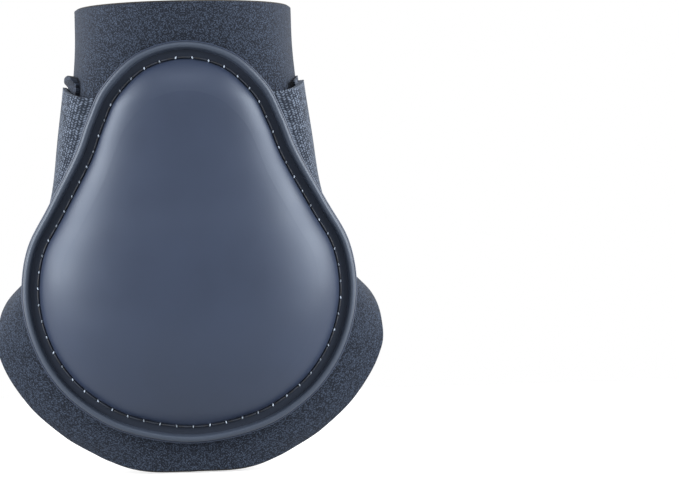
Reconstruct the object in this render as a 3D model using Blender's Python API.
"""Fetlock boot for a horse's hind leg: a domed strike shell sewn to a three-layer neoprene liner,
closed round the leg by a wide hook-and-loop strap. Metres, +Z up the leg, -Y out of the shell."""

import math
from functools import lru_cache

import bmesh
import bpy
import numpy as np
from mathutils import Vector

COLLECTION = "fetlock_boot"

# Overall sizes of the liner, measured on its outer face.
BOOT_HEIGHT = 0.168
CUFF_WIDTH = 0.079
CUFF_DEPTH = 0.075
ARCH_HEIGHT = 0.0704
TOP_EDGE_DROP = 0.012
FLAP_CORNER_RADIUS = 0.009
FLAP_GAP_TOP = 0.0016
FLAP_GAP_FOOT = 0.011

# Thicknesses of the laminate, and the clearances that keep neighbouring pieces apart.
FACE_FABRIC = 0.0007
FOAM_CORE = 0.0028
LINING = 0.0006
LAYER_GAP = 0.0003
SEAM_GAP = 0.0003
SEAT_GAP = 0.0003

# Strike shell.
SHELL_WIDTH = 0.1202
SHELL_HEIGHT = 0.1434
SHELL_FOOT = 0.0102
SHELL_STANDOFF = 0.0008
SHELL_SIDE_WRAP = 0.0077
SHELL_WALL = 0.0024
BEAD_WIDTH = 0.0032
BEAD_HEIGHT = 0.0038
CHANNEL_WIDTH = 0.0034
CHANNEL_FLOOR = 0.0016
DOME_RISE = 0.0158
DOME_CENTRE_HEIGHT = 0.064

# Thread that sews the shell to the liner.
STITCH_PITCH = 0.0059
THREAD_RADIUS = 0.00045
THREAD_CREST = 0.00035

# Straps: how far the closing strap lies above the arch, its width, and the others' sizes.
STRAP_ABOVE_ARCH = 0.0179
STRAP_WIDTH = 0.052
STRAP_REAR_DROP = 0.003
STRAP_THICKNESS = 0.0019
STRAP_ROOT_TUCK = 0.003
STRAP_ROOT_TAPER = 0.0055
STRAP_CORNER_RADIUS = 0.007
STRAP_SIDE_LIFT = 0.0009
LOOP_STRAP_THICKNESS = 0.0014
LOOP_STRAP_INSET = 0.001
BAND_THICKNESS = 0.0014
BAND_BELOW_STRAP = 0.0051
BAND_WIDTH = 0.0515
BAND_RISE = 0.0085
BAND_CORNER_RADIUS = 0.006
HOOK_TAPE_THICKNESS = 0.0008
HOOK_TAPE_MARGIN = 0.004

# Label sewn below the strap, and the folded size tag beside it.
LABEL_WIDTH = 0.0151
LABEL_HEIGHT = 0.0138
LABEL_THICKNESS = 0.0008
LABEL_TILT = 0.0022
TAG_WIDTH = 0.0095
TAG_HEIGHT = 0.009
TAG_SHOWN = 0.0056
TAG_GAP = 0.0004
TAG_THICKNESS = 0.0005

# Places round the boot, as shares of a quarter of the way: 0 at the front, 1 at the right side, 2 at
# the rear, 3 at the left side.
RIGHT_CREASE_SHARE = 0.93
REAR_SHARE = 2
STRAP_FOLD_SHARES = (1.62, 2.32)
STRAP_END_SHARE = 2.74
LOOP_STRAP_END_SHARE = 1.5
BAND_END_SHARE = 3.36
HOOK_TAPE_START_SHARE = 2.44
HOOK_TAPE_END_SHARE = 2.69
LABEL_START_SHARE = 0.968
LOOP_RAMP_SHARES = (1.0, 1.36)
HOOK_RAMP_SHARES = (2.1, 2.32)

# How far the creases lie outside the liner's side, at the arch and at the top edge.
CREASE_OUT_FOOT = 0.0016
CREASE_OUT_TOP = 0.0012
FOLD_OUT = 0.0006

# Plan sections of the liner. Each row: height as a share of the boot's, half width, front depth and
# rear depth as shares of the cuff's halves, and how square the front and rear quarters are.
SECTION_SHARES = (
    (0.000, 1.165, 0.960, 0.805, 2.20, 2.2),
    (0.036, 1.270, 0.976, 0.805, 2.35, 2.2),
    (0.077, 1.520, 0.995, 0.805, 2.50, 2.2),
    (0.131, 1.800, 1.008, 0.805, 2.45, 2.2),
    (0.179, 1.950, 1.013, 0.805, 2.40, 2.2),
    (0.250, 2.025, 1.013, 0.805, 2.40, 2.2),
    (0.310, 1.900, 1.013, 0.805, 2.50, 2.2),
    (0.369, 1.700, 1.013, 0.805, 2.80, 2.2),
    (0.423, 1.473, 1.013, 0.808, 3.20, 2.2),
    (0.470, 1.304, 1.013, 0.830, 3.50, 2.2),
    (0.518, 1.208, 1.013, 0.868, 3.60, 2.1),
    (0.577, 1.154, 1.013, 0.900, 3.60, 2.1),
    (0.702, 1.105, 1.005, 0.960, 3.20, 2.0),
    (0.821, 1.045, 0.997, 1.000, 3.00, 2.0),
    (0.911, 1.014, 0.995, 1.030, 2.60, 2.0),
    (1.000, 1.010, 0.992, 1.066, 2.10, 2.0),
)

# The liner's lower cut edge: place round the boot, and height as a share of the arch's.
CUT_EDGE_SHARES = (
    (0.000, 0.000), (0.307, 0.010), (0.427, 0.043), (0.511, 0.085), (0.575, 0.150), (0.612, 0.224),
    (0.645, 0.312), (0.670, 0.398), (0.701, 0.497), (0.730, 0.594), (0.769, 0.692), (0.815, 0.791),
    (0.892, 0.889), (0.953, 0.938), (1.030, 0.966), (1.120, 0.982), (1.300, 0.991), (2.000, 1.000),
)

# Right half of the shell's outline from its foot to its top: half width and height as shares.
SHELL_OUTLINE_SHARES = (
    (0.0, 0.0), (0.40, 0.030), (0.676, 0.096), (0.857, 0.180), (0.965, 0.280), (1.0, 0.385),
    (0.957, 0.495), (0.825, 0.598), (0.664, 0.724), (0.586, 0.808), (0.486, 0.891), (0.28, 0.970),
    (0.0, 1.0),
)

# Rise of the dome's ridge: height as a share of the dome's, and rise as a share of the highest.
RIDGE_SHARES = (
    (0.0, 0.0), (0.04, 0.27), (0.10, 0.58), (0.17, 0.82), (0.26, 0.975), (0.36, 1.0), (0.51, 0.89),
    (0.61, 0.74), (0.69, 0.65), (0.77, 0.57), (0.865, 0.515), (0.91, 0.47), (0.955, 0.33), (1.0, 0.0),
)

# The rim's cross-section: inset as a share of the bead's width, height as a share of the bead's.
BEAD_SHARES = ((0.0, 0.0), (0.0, 0.58), (0.14, 0.87), (0.5, 1.0), (0.86, 0.87), (1.0, 0.6))
DOME_RING_SHARES = (0.965, 0.91, 0.82, 0.69, 0.53, 0.35, 0.17)
DOME_FULLNESS = 0.6
SHELL_WRAP_POWER = 2.5
TOP_EDGE_POWER = 4.6
PRESS_BACK_SOFTNESS_SHARE = 0.027
LEAD_HANDLE_SHARE = 0.42
LEAVE_LEAST_SHARE = 0.12
LEAVE_SIDE_SHARE = 0.75
ROW_CROWDING_POWER = 1.25
FLAP_CROWDING_POWER = 1.35
COLUMN_CLEARANCE_SHARE = 0.02
CORNER_SHARES = (0.0, 0.38, 0.71, 0.92, 1.0)

OUTLINE_POINTS = 60
SPLINE_STEPS = 24
QUARTER_STEPS = 240
FRONT_COLUMNS = 15
FLAP_COLUMNS = 8
LINER_ROWS = 14
STRAP_ROWS = 6
QUARTER_COLUMNS = 10
LEAD_COLUMNS = 8
LABEL_COLUMNS = 4
LABEL_ROWS = 3
SLOPE_STEP_SHARE = 0.002
SHARP_ANGLE = 40

# Colour, roughness and metallic of each material.
FINISHES = {
    "moulded_polyurethane": ((0.078, 0.094, 0.133, 1.0), 0.42, 0.0),
    "bonded_thread": ((0.045, 0.055, 0.085, 1.0), 0.5, 0.0),
    "jersey": ((0.052, 0.070, 0.105, 1.0), 0.95, 0.0),
    "neoprene": ((0.040, 0.036, 0.033, 1.0), 0.9, 0.0),
    "lining": ((0.035, 0.045, 0.065, 1.0), 0.95, 0.0),
    "loop_webbing": ((0.068, 0.085, 0.120, 1.0), 0.95, 0.0),
    "hook_tape": ((0.012, 0.013, 0.016, 1.0), 0.7, 0.0),
    "clear_rubber": ((0.520, 0.600, 0.680, 1.0), 0.25, 0.0),
    "satin_tape": ((0.780, 0.820, 0.860, 1.0), 0.6, 0.0),
}


def clear_scene():
    for obj in list(bpy.data.objects):
        bpy.data.objects.remove(obj, do_unlink=True)


def boot_collection():
    """The collection that holds the boot."""
    found = bpy.data.collections.get(COLLECTION) or bpy.data.collections.new(COLLECTION)
    if found.name not in bpy.context.scene.collection.children:
        bpy.context.scene.collection.children.link(found)
    return found


@lru_cache(maxsize=None)
def finish(name):
    """The material of this name."""
    colour, roughness, metallic = FINISHES[name]
    material = bpy.data.materials.new(name)
    material.use_nodes = True
    shader = material.node_tree.nodes["Principled BSDF"]
    shader.inputs["Base Color"].default_value = colour
    shader.inputs["Roughness"].default_value = roughness
    shader.inputs["Metallic"].default_value = metallic
    return material


def smooth_lookup(rows, x):
    """The row's values at x, on a smooth curve through a table whose first column is x."""
    table = np.array(rows)
    keys = table[:, 0]
    values = table[:, 1:]
    x = min(max(x, keys[0]), keys[-1])
    i = min(int(np.searchsorted(keys, x, side="right")) - 1, len(keys) - 2)
    step = keys[i + 1] - keys[i]
    rise = (values[i + 1] - values[i]) / step
    before = (values[i] - values[i - 1]) / (keys[i] - keys[i - 1]) if i > 0 else rise
    after = (values[i + 2] - values[i + 1]) / (keys[i + 2] - keys[i + 1]) if i + 2 < len(keys) else rise
    # A slope of zero at each turning point keeps the curve from overshooting its rows.
    start = np.where(before * rise > 0, (before + rise) / 2, 0)
    end = np.where(rise * after > 0, (rise + after) / 2, 0)
    t = (x - keys[i]) / step
    return (
        values[i] * (1 + 2 * t) * (1 - t) ** 2
        + start * step * t * (1 - t) ** 2
        + values[i + 1] * t * t * (3 - 2 * t)
        - end * step * t * t * (1 - t)
    )


def smoothstep(x, low, high):
    t = min(max((x - low) / (high - low), 0.0), 1.0)
    return t * t * (3 - 2 * t)


def corner_cut(distance, radius):
    """How far a rounded corner pulls an edge in, at this distance from the end."""
    if distance >= radius:
        return 0.0
    reach = radius - max(distance, 0.0)
    return radius - math.sqrt(radius * radius - reach * reach)


# The shell's back is a plate bowed about the leg. Everything that meets the shell starts from it.


def shell_back(x):
    """Y of the shell's back face at x."""
    front = -CUFF_DEPTH / 2 - SHELL_STANDOFF
    return front + SHELL_SIDE_WRAP * abs(2 * x / SHELL_WIDTH) ** SHELL_WRAP_POWER


# The liner's outer face is a stack of plan sections, each read by its place round the boot.


@lru_cache(maxsize=None)
def plan_quarters(height):
    """Points of the right half of the section at this height, with their lengths, front then rear."""
    half_width, front, rear, front_square, rear_square = smooth_lookup(
        SECTION_SHARES, height / BOOT_HEIGHT
    )
    half_width *= CUFF_WIDTH / 2
    front *= CUFF_DEPTH / 2
    rear *= CUFF_DEPTH / 2
    angle = np.linspace(0, math.pi / 2, QUARTER_STEPS)
    front_x = half_width * np.sin(angle) ** (2 / front_square)
    front_y = -front * np.cos(angle) ** (2 / front_square)
    # The shell presses the front of the liner back to its own plate.
    plate = np.array([shell_back(x) for x in front_x]) + SEAT_GAP
    soft = PRESS_BACK_SOFTNESS_SHARE * CUFF_DEPTH / 2
    front_y = plate + soft * np.log1p(np.exp((front_y - plate) / soft))
    rear_x = half_width * np.cos(angle) ** (2 / rear_square)
    rear_y = rear * np.sin(angle) ** (2 / rear_square)
    quarters = []
    for xs, ys in ((front_x, front_y), (rear_x, rear_y)):
        lengths = np.concatenate([[0], np.cumsum(np.hypot(np.diff(xs), np.diff(ys)))])
        quarters.append((xs, ys, lengths))
    return quarters


def liner_base(place, height):
    """Point of the liner's outer face at this place round the boot, before any offset."""
    side = 1 if place <= REAR_SHARE else -1
    turn = place if place <= REAR_SHARE else 2 * REAR_SHARE - place
    if turn < 0:
        side, turn = -1, -turn
    xs, ys, lengths = plan_quarters(height)[1 if turn > 1 else 0]
    along = (turn - 1 if turn > 1 else turn) * lengths[-1]
    return Vector((side * np.interp(along, lengths, xs), np.interp(along, lengths, ys), height))


def liner_point(place, height, lift=0.0):
    """Point at a distance outside the liner's outer face, or inside it where lift is negative."""
    around = liner_base(place + SLOPE_STEP_SHARE, height) - liner_base(place - SLOPE_STEP_SHARE, height)
    step = SLOPE_STEP_SHARE * BOOT_HEIGHT
    up = liner_base(place, height + step) - liner_base(place, height - step)
    return liner_base(place, height) + around.cross(up).normalized() * lift


def quarter_length(height):
    """Length round the rear quarter at this height."""
    return plan_quarters(height)[1][2][-1]


def turn_of(place):
    return place if place <= REAR_SHARE else 2 * REAR_SHARE - place


def cut_height(place):
    """Height of the liner's lower edge."""
    return float(smooth_lookup(CUT_EDGE_SHARES, abs(turn_of(place)))[0]) * ARCH_HEIGHT


def top_height(place):
    """Height of the liner's top edge, which falls towards the rear and is rounded at the flap's end."""
    turn = abs(turn_of(place))
    fall = TOP_EDGE_DROP * math.sin(turn * math.pi / 4) ** (2 * TOP_EDGE_POWER)
    end = (REAR_SHARE - turn) * quarter_length(BOOT_HEIGHT)
    return BOOT_HEIGHT - fall - corner_cut(end, FLAP_CORNER_RADIUS)


def flap_end(height):
    """Place of the right flap's rear edge: the flaps part a little towards the arch."""
    share = (height - ARCH_HEIGHT) / (BOOT_HEIGHT - ARCH_HEIGHT)
    gap = FLAP_GAP_FOOT + (FLAP_GAP_TOP - FLAP_GAP_FOOT) * min(max(share, 0), 1)
    return REAR_SHARE - gap / 2 / quarter_length(height)


# Making objects.


def solid(name, bm, material):
    """The object for a finished closed body, its faces turned outwards."""
    bmesh.ops.recalc_face_normals(bm, faces=bm.faces[:])
    if bm.calc_volume(signed=True) < 0:
        bmesh.ops.reverse_faces(bm, faces=bm.faces[:])
    mesh = bpy.data.meshes.new(name)
    bm.to_mesh(mesh)
    bm.free()
    mesh.materials.append(finish(material))
    mesh.shade_smooth()
    mesh.set_sharp_from_angle(angle=math.radians(SHARP_ANGLE))
    obj = bpy.data.objects.new(name, mesh)
    boot_collection().objects.link(obj)
    return obj


def sheet(name, inner, outer, material):
    """A closed sheet between two open surfaces, each given as columns of points. Layers read at
    their own distances stay parallel, and neighbouring sheets keep their gap through their walls."""
    bm = bmesh.new()
    columns, rows = len(inner), len(inner[0])
    bmesh.ops.create_grid(bm, x_segments=columns - 1, y_segments=rows - 1, size=1)
    near = bm.verts[:]
    far = bmesh.ops.duplicate(bm, geom=near + bm.edges[:] + bm.faces[:])["vert_map"]
    for k, vert in enumerate(near):
        row, column = divmod(k, columns)
        vert.co = inner[column][row]
        far[vert].co = outer[column][row]
    bmesh.ops.bridge_loops(bm, edges=[edge for edge in bm.edges if edge.is_boundary])
    return solid(name, bm, material)


def loft(name, rings, crown, pit, material):
    """A closed body through closed rings, ended by one point at the front and one at the back."""
    bm = bmesh.new()
    turns, bands = len(rings[0]), len(rings) + 1
    bmesh.ops.create_uvsphere(bm, u_segments=turns, v_segments=bands, radius=1)
    for vert in bm.verts:
        ring = round(math.acos(max(-1.0, min(1.0, vert.co.z))) / math.pi * bands)
        turn = round(math.atan2(vert.co.y, vert.co.x) / math.tau * turns) % turns
        if 0 < ring < bands:
            vert.co = rings[ring - 1][turn]
        else:
            vert.co = crown if ring else pit
    return solid(name, bm, material)


# Strike shell.


def spline_through(points, steps):
    """Closed Catmull-Rom curve through these points."""
    count = len(points)
    curve = []
    for i in range(count):
        before, start, end, after = (points[(i + k - 1) % count] for k in range(4))
        for step in range(steps):
            t = step / steps
            curve.append(
                start
                + (end - before) * t / 2
                + (2 * before - 5 * start + 4 * end - after) * t * t / 2
                + (3 * start - before - 3 * end + after) * t**3 / 2
            )
    return curve


@lru_cache(maxsize=None)
def shell_outline(inset):
    """Points of the shell's outline seen from the front, evenly spaced and moved in by inset."""
    right = [
        np.array((x * SHELL_WIDTH / 2, SHELL_FOOT + z * SHELL_HEIGHT)) for x, z in SHELL_OUTLINE_SHARES
    ]
    left = [point * (-1, 1) for point in reversed(right[1:-1])]
    curve = np.array(spline_through(right + left, SPLINE_STEPS))
    closed = np.vstack([curve, curve[:1]])
    lengths = np.concatenate([[0], np.cumsum(np.hypot(*np.diff(closed, axis=0).T))])
    places = np.linspace(0, lengths[-1], OUTLINE_POINTS, endpoint=False)
    even = np.column_stack([np.interp(places, lengths, closed[:, k]) for k in (0, 1)])
    along = np.roll(even, -1, axis=0) - np.roll(even, 1, axis=0)
    inward = np.column_stack([-along[:, 1], along[:, 0]])
    inward /= np.hypot(*inward.T)[:, None]
    return even + inset * inward


def half_width_at(outline, height):
    """Half width of an outline at this height, zero past its ends."""
    right = outline[outline[:, 0] >= 0]
    right = right[np.argsort(right[:, 1])]
    return float(np.interp(height, right[:, 1], right[:, 0]))


def dome_start():
    return BEAD_WIDTH + CHANNEL_WIDTH


def dome_rise(x, height):
    """Height of the dome above the channel's floor."""
    outline = shell_outline(dome_start())
    foot, top = outline[:, 1].min(), outline[:, 1].max()
    ridge = float(smooth_lookup(RIDGE_SHARES, (height - foot) / (top - foot))[0])
    half = half_width_at(outline, height)
    across = min(abs(x) / half, 1.0) if half > 0 else 1.0
    return DOME_RISE * ridge * (1 - across * across) ** DOME_FULLNESS


def shell_point(x, height, rise):
    """Point this far in front of the shell's back."""
    return (x, shell_back(x) - rise, height)


def strike_shell():
    """Moulded dish: a round bead at the rim, a sewing channel inside it, then the dome."""
    rings = []
    centre = np.array((0.0, DOME_CENTRE_HEIGHT))
    foot = shell_outline(dome_start())
    for share in reversed(DOME_RING_SHARES):
        ring = centre + (foot - centre) * share
        inner = [max(CHANNEL_FLOOR + dome_rise(x, z) - SHELL_WALL, 0.0) for x, z in ring]
        rings.append([shell_point(x, z, rise) for (x, z), rise in zip(ring, inner)])
    rings.append([shell_point(x, z, 0.0) for x, z in foot])
    for inset, rise in BEAD_SHARES:
        ring = shell_outline(inset * BEAD_WIDTH)
        rings.append([shell_point(x, z, rise * BEAD_HEIGHT) for x, z in ring])
    for inset in (BEAD_WIDTH + CHANNEL_WIDTH / 5, dome_start()):
        rings.append([shell_point(x, z, CHANNEL_FLOOR) for x, z in shell_outline(inset)])
    for share in DOME_RING_SHARES:
        ring = centre + (foot - centre) * share
        rings.append([shell_point(x, z, CHANNEL_FLOOR + dome_rise(x, z)) for x, z in ring])
    crown = CHANNEL_FLOOR + dome_rise(*centre)
    return loft(
        "strike_shell",
        rings,
        shell_point(*centre, crown),
        shell_point(*centre, crown - SHELL_WALL),
        "moulded_polyurethane",
    )


def shell_stitching():
    """One thread round the channel, proud between needle holes and low at each."""
    outline = shell_outline(dome_start() - 2 * THREAD_RADIUS)
    closed = np.vstack([outline, outline[:1]])
    lengths = np.concatenate([[0], np.cumsum(np.hypot(*np.diff(closed, axis=0).T))])
    stitches = round(lengths[-1] / STITCH_PITCH)
    data = bpy.data.curves.new("shell_stitching", "CURVE")
    data.dimensions = "3D"
    data.bevel_depth = THREAD_RADIUS
    data.bevel_resolution = 0
    path = data.splines.new("POLY")
    path.points.add(2 * stitches - 1)
    path.use_cyclic_u = True
    for i, point in enumerate(path.points):
        along = lengths[-1] * i / (2 * stitches)
        x, z = (float(np.interp(along, lengths, closed[:, k])) for k in (0, 1))
        low = CHANNEL_FLOOR + SEAT_GAP + THREAD_RADIUS
        point.co = (*shell_point(x, z, low + (THREAD_CREST if i % 2 else 0.0)), 1)
    obj = bpy.data.objects.new("shell_stitching", data)
    boot_collection().objects.link(obj)
    data.materials.append(finish("bonded_thread"))
    return obj


# Liner.


def liner_layers():
    """Name, inner and outer distance from the liner's outer face, and material of each layer."""
    foam = FACE_FABRIC + LAYER_GAP
    lining = foam + FOAM_CORE + LAYER_GAP
    return (
        ("face_fabric", -FACE_FABRIC, 0.0, "jersey"),
        ("foam_core", -foam - FOAM_CORE, -foam, "neoprene"),
        ("lining", -lining - LINING, -lining, "lining"),
    )


def crease_edge(side):
    """Place where a panel ends at the crease: side is -1 for the front panel, 1 for the flap."""
    return RIGHT_CREASE_SHARE + side * SEAM_GAP / 2 / quarter_length(ARCH_HEIGHT)


def liner_column(place, depth, flap):
    """Points up one column of a panel, from the cut edge to the top edge."""
    column = []
    for row in range(LINER_ROWS + 1):
        share = (row / LINER_ROWS) ** ROW_CROWDING_POWER
        height = cut_height(place) + (top_height(place) - cut_height(place)) * share
        turn = place
        if flap:
            start = crease_edge(1)
            turn = start + (place - start) * (flap_end(height) - start) / (REAR_SHARE - start)
        column.append(liner_point(turn, height, depth))
    return column


def mirrored(columns):
    """The same surface on the left, still running round the boot in the same sense."""
    return [[Vector((-p.x, p.y, p.z)) for p in column] for column in reversed(columns)]


@lru_cache(maxsize=None)
def front_places():
    """Places of the front panel's columns on the right, evenly spaced along the cut edge."""
    fine = np.linspace(0, crease_edge(-1), QUARTER_STEPS)
    edge = np.array([liner_base(place, cut_height(place)) for place in fine])
    lengths = np.concatenate([[0], np.cumsum(np.linalg.norm(np.diff(edge, axis=0), axis=1))])
    return np.interp(np.linspace(0, lengths[-1], FRONT_COLUMNS + 1), lengths, fine)


def front_panel(layer, near, far, material):
    """Front of the liner with both wings, between the creases."""
    faces = []
    for depth in (near, far):
        right = [liner_column(place, depth, False) for place in front_places()]
        faces.append(mirrored(right[1:]) + right)
    return sheet("front_" + layer, *faces, material)


def flap(side, layer, near, far, material):
    """Flap behind a crease; its columns crowd towards the rounded corner at the rear edge."""
    start = crease_edge(1)
    shares = [1 - (1 - k / FLAP_COLUMNS) ** FLAP_CROWDING_POWER for k in range(FLAP_COLUMNS + 1)]
    faces = []
    for depth in (near, far):
        columns = [liner_column(start + (REAR_SHARE - start) * share, depth, True) for share in shares]
        faces.append(mirrored(columns) if side == "left" else columns)
    return sheet(f"{side}_{layer}", *faces, material)


# Straps. Each lies a clearance outside the one below it.


def strap_foot():
    """Height of the closing strap's lower edge at the sides."""
    return ARCH_HEIGHT + STRAP_ABOVE_ARCH


def loop_strap_lift():
    return SEAT_GAP + BAND_THICKNESS + SEAT_GAP


def hook_tape_lift():
    return loop_strap_lift() + LOOP_STRAP_THICKNESS + SEAT_GAP


def strap_lift(place):
    """Distance from the liner to the closing strap's inner face, which climbs over what lies below."""
    over_loop = hook_tape_lift() - STRAP_SIDE_LIFT
    over_hook = HOOK_TAPE_THICKNESS + SEAT_GAP
    return (
        STRAP_SIDE_LIFT
        + over_loop * smoothstep(place, *LOOP_RAMP_SHARES)
        + over_hook * smoothstep(place, *HOOK_RAMP_SHARES)
    )


def strap_edges(place):
    """Heights of the closing strap's edges, which dip at the rear."""
    dip = STRAP_REAR_DROP * math.sin((place - 1) * math.pi / 2) ** 2 if 1 < place < 3 else 0.0
    return strap_foot() - dip, strap_foot() + STRAP_WIDTH - dip


def loop_strap_edges(place):
    """The loop strap is a little narrower than the strap that covers it."""
    low, high = strap_edges(place)
    return low + LOOP_STRAP_INSET, high - LOOP_STRAP_INSET


def tag_start():
    """Place where the size tag starts, beside the label's foot."""
    return LABEL_START_SHARE + (LABEL_WIDTH + LABEL_TILT + TAG_GAP) / quarter_length(strap_foot())


def band_start():
    """Place of the inner band's end at the right rear, past the size tag."""
    return tag_start() + (TAG_WIDTH + TAG_GAP) / quarter_length(strap_foot())


def band_edges(place):
    """Heights of the inner band's edges: it slants up from the right rear to the left."""
    along = (place - band_start()) / (BAND_END_SHARE - band_start())
    foot = strap_foot() - BAND_BELOW_STRAP + BAND_RISE * along
    return foot, foot + BAND_WIDTH


def hook_tape_edges(place):
    low, high = strap_edges(place)
    return low + HOOK_TAPE_MARGIN, high - HOOK_TAPE_MARGIN


def wrap_places(start, end, corner_radius):
    """Places of a strap's columns. Between its ends they are shared by all straps, so that each
    strap's flats lie over those of the one below; a rounded far end adds columns of its own."""
    shared = [k / QUARTER_COLUMNS for k in range(2 * REAR_SHARE * QUARTER_COLUMNS)]
    sense = 1 if end > start else -1
    corner = corner_radius / quarter_length(strap_foot())
    stop = end - sense * corner
    low = min(start, stop) + COLUMN_CLEARANCE_SHARE
    high = max(start, stop) - COLUMN_CLEARANCE_SHARE
    inside = [place for place in shared if low < place < high]
    places = [start] + inside[::sense]
    return places + [stop + sense * corner * share for share in (CORNER_SHARES if corner else (1.0,))]


def wrap(name, start, end, edges, lift, thickness, material, corner_radius=0.0):
    """A strap that follows the liner between two places. A corner radius rounds its far end."""
    faces = ([], [])
    for place in wrap_places(start, end, corner_radius):
        low, high = edges(place)
        trim = corner_cut(abs(end - place) * quarter_length(strap_foot()), corner_radius)
        low, high = low + trim, high - trim
        heights = [low + (high - low) * row / STRAP_ROWS for row in range(STRAP_ROWS + 1)]
        for face, outward in zip(faces, (0.0, thickness)):
            face.append([liner_point(place, height, lift(place) + outward) for height in heights])
    return sheet(name, *faces, material)


def root_x(height, thickness):
    """X where a strap's root starts: tucked behind the shell's rim, or where the liner leaves room."""
    xs, ys, _ = plan_quarters(height)[0]
    room = [x for x, y in zip(xs, ys) if y > shell_back(x) + SEAT_GAP + thickness + SEAT_GAP]
    return max(half_width_at(shell_outline(0.0), height) - STRAP_ROOT_TUCK, room[0])


def root_point(t, height, lift, thickness, outward):
    """Point a share of the way along a strap's root on the right, from behind the rim to the crease."""
    end = crease_edge(-1)
    x = root_x(height, thickness)
    start = Vector((x, shell_back(x) + SEAT_GAP + thickness - outward, height))
    land = liner_point(end, height, lift + outward)
    reach = (land - start).length * LEAD_HANDLE_SHARE
    out = (land - start).length * LEAVE_LEAST_SHARE + abs(land.x - start.x) * LEAVE_SIDE_SHARE
    leave = Vector((out, shell_back(x) - shell_back(x - out), 0)).normalized() * out
    before = liner_point(end - SLOPE_STEP_SHARE, height, lift + outward)
    arrive = (before - land).normalized() * reach
    return (
        start * (1 - t) ** 3
        + (start + leave) * 3 * t * (1 - t) ** 2
        + (land + arrive) * 3 * t * t * (1 - t)
        + land * t**3
    )


def strap_base(name, side, edges, lift, thickness):
    """The first length of a strap, sewn behind the shell's rim, narrower there than at the crease."""
    faces = ([], [])
    for k in range(LEAD_COLUMNS + 1):
        t = k / LEAD_COLUMNS
        low, high = edges(crease_edge(-1))
        high -= STRAP_ROOT_TAPER * (1 - smoothstep(t, 0, 1))
        heights = [low + (high - low) * row / STRAP_ROWS for row in range(STRAP_ROWS + 1)]
        for face, outward in zip(faces, (0.0, thickness)):
            face.append([root_point(t, z, lift, thickness, outward) for z in heights])
    if side == "left":
        faces = [mirrored(face) for face in faces]
    return sheet(name, *faces, "loop_webbing")


def fold_gap():
    """Half the gap between two strap segments, as a place."""
    return SEAM_GAP / 2 / quarter_length(strap_foot())


def closing_strap():
    """The outer strap: its root at the right of the shell, side, rear, and the tab that presses shut."""
    strap_base("strap_root", "right", strap_edges, STRAP_SIDE_LIFT, STRAP_THICKNESS)
    near, far = STRAP_FOLD_SHARES
    spans = (
        ("strap_side", crease_edge(1), near - fold_gap(), 0.0),
        ("strap_rear", near + fold_gap(), far - fold_gap(), 0.0),
        ("strap_tab", far + fold_gap(), STRAP_END_SHARE, STRAP_CORNER_RADIUS),
    )
    for name, start, end, radius in spans:
        wrap(name, start, end, strap_edges, strap_lift, STRAP_THICKNESS, "loop_webbing", radius)


def hook_tape():
    """Hook tape sewn inside the tab, pressed on the loop strap."""
    return wrap(
        "hook_tape",
        HOOK_TAPE_START_SHARE,
        HOOK_TAPE_END_SHARE,
        hook_tape_edges,
        lambda place: hook_tape_lift(),
        HOOK_TAPE_THICKNESS,
        "hook_tape",
    )


def loop_strap():
    """Loop strap from the left of the shell, round the rear, to the right rear."""
    lift = loop_strap_lift()
    strap_base("loop_strap_root", "left", loop_strap_edges, lift, LOOP_STRAP_THICKNESS)
    start = 2 * REAR_SHARE - crease_edge(1)
    wrap(
        "loop_strap",
        start,
        LOOP_STRAP_END_SHARE,
        loop_strap_edges,
        lambda place: lift,
        LOOP_STRAP_THICKNESS,
        "loop_webbing",
    )


def inner_band():
    """Inner band below both straps; its rounded end at the left stands proud of their upper edge."""
    starts = (2 * REAR_SHARE - crease_edge(-1), 2 * REAR_SHARE - crease_edge(1))
    ends = (BAND_END_SHARE, band_start())
    for name, start, end, radius in zip(
        ("inner_band_end", "inner_band"), starts, ends, (BAND_CORNER_RADIUS, 0.0)
    ):
        wrap(name, start, end, band_edges, lambda place: SEAT_GAP, BAND_THICKNESS, "jersey", radius)


def label():
    """Blank soft rubber label sewn below the strap, its sides leaning back a little."""
    length = quarter_length(strap_foot())
    faces = ([], [])
    for k in range(LABEL_COLUMNS + 1):
        for face, outward in zip(faces, (0.0, LABEL_THICKNESS)):
            column = []
            for row in range(LABEL_ROWS + 1):
                down = 1 - row / LABEL_ROWS
                place = LABEL_START_SHARE + (LABEL_WIDTH * k / LABEL_COLUMNS + LABEL_TILT * down) / length
                z = strap_foot() - SEAT_GAP - LABEL_HEIGHT * down
                column.append(liner_point(place, z, SEAT_GAP + outward))
            face.append(column)
    return sheet("blank_label", *faces, "clear_rubber")


def size_tag():
    """Folded satin tag that hangs from under the strap."""
    foot = strap_foot() - TAG_SHOWN
    faces = ([], [])
    for k in range(LABEL_COLUMNS + 1):
        place = tag_start() + TAG_WIDTH / quarter_length(strap_foot()) * k / LABEL_COLUMNS
        for face, outward in zip(faces, (0.0, TAG_THICKNESS)):
            face.append([liner_point(place, z, SEAT_GAP + outward) for z in (foot, foot + TAG_HEIGHT)])
    return sheet("size_tag", *faces, "satin_tape")


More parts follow.
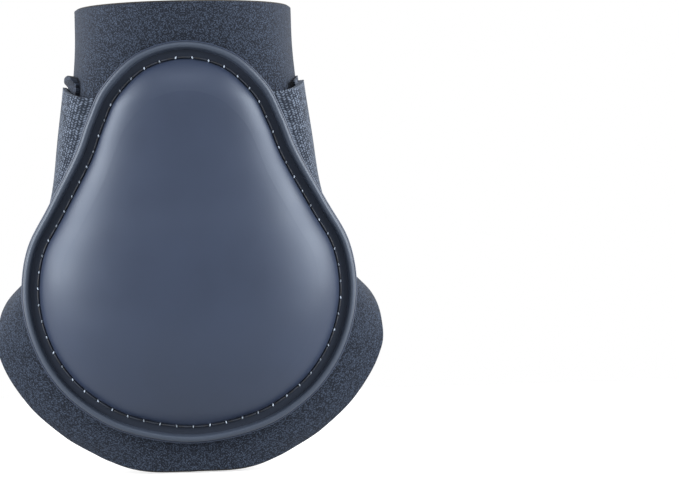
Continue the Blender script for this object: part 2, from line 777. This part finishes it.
# Joint axes, each an empty whose Z lies along the axis. The moving pieces are parented to them.


def crease_line(side):
    """Foot and top of a crease's axis, just outside the liner and the straps that lie on it."""
    foot = liner_point(RIGHT_CREASE_SHARE, cut_height(RIGHT_CREASE_SHARE), CREASE_OUT_FOOT)
    top = liner_point(RIGHT_CREASE_SHARE, top_height(RIGHT_CREASE_SHARE), CREASE_OUT_TOP)
    return [Vector((side * point.x, point.y, point.z)) for point in (foot, top)]


def fold_line(place):
    """Foot and top of the closing strap's axis at a fold, on the strap's outer face."""
    low, high = strap_edges(place)
    out = strap_lift(place) + STRAP_THICKNESS + FOLD_OUT
    return [liner_point(place, height, out) for height in (low, high)]


def joint_axis(name, ends, children):
    """Empty at the middle of an axis, turned to it, carrying its pieces where they already are."""
    foot, top = ends
    axis = bpy.data.objects.new(name, None)
    boot_collection().objects.link(axis)
    axis.location = (foot + top) / 2
    axis.rotation_mode = "QUATERNION"
    axis.rotation_quaternion = (top - foot).to_track_quat("Z", "Y")
    bpy.context.view_layer.update()
    for child in children:
        obj = bpy.data.objects[child]
        obj.parent = axis
        obj.matrix_parent_inverse = axis.matrix_world.inverted()
    turn = (top - foot).normalized()
    print(name, "at", *(round(v, 5) for v in axis.location), "along", *(round(v, 5) for v in turn))


def joints():
    liner = [layer[0] for layer in liner_layers()]
    right = [f"right_{name}" for name in liner] + ["blank_label", "size_tag"]
    left = [f"left_{name}" for name in liner] + ["loop_strap", "inner_band"]
    joint_axis("right_crease", crease_line(1), right)
    joint_axis("left_crease", crease_line(-1), left)
    joint_axis("strap_crease", crease_line(1), ["strap_side"])
    joint_axis("near_fold", fold_line(STRAP_FOLD_SHARES[0]), ["strap_rear"])
    joint_axis("far_fold", fold_line(STRAP_FOLD_SHARES[1]), ["strap_tab", "hook_tape"])


def build():
    clear_scene()
    strike_shell()
    shell_stitching()
    for layer in liner_layers():
        front_panel(*layer)
        flap("right", *layer)
        flap("left", *layer)
    inner_band()
    loop_strap()
    closing_strap()
    hook_tape()
    label()
    size_tag()
    joints()


build()
